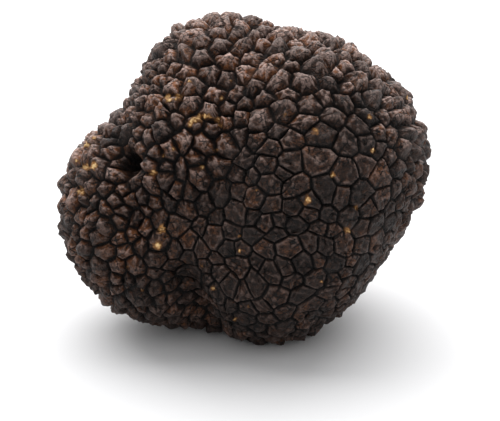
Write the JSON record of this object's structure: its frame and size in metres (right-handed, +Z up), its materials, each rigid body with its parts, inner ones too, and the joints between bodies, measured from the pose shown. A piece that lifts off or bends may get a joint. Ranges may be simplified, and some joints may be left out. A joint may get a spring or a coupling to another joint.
{
  "type": "black truffle",
  "caption": "Whole black truffle: a lumpy lobed ball of dark, warty skin cut by narrow grooves, with a deep pit by its side lobe and a small flat spot below.",
  "frame": {"origin": "bottom centre of the bounding box, on the plane of the flat spot it rests on", "axes": "+Z up; +X from the side lobe by the pit towards the broad end; -Y towards the side with the pit and the broad flat warts"},
  "size_m": [0.0602, 0.0478, 0.0496],
  "materials": {
    "truffle_skin": "dull, dark brown-black, warty, with a few ochre flecks"
  },
  "bodies": {
    "root": {"truffle": "truffle_skin"}
  },
  "joints": []
}
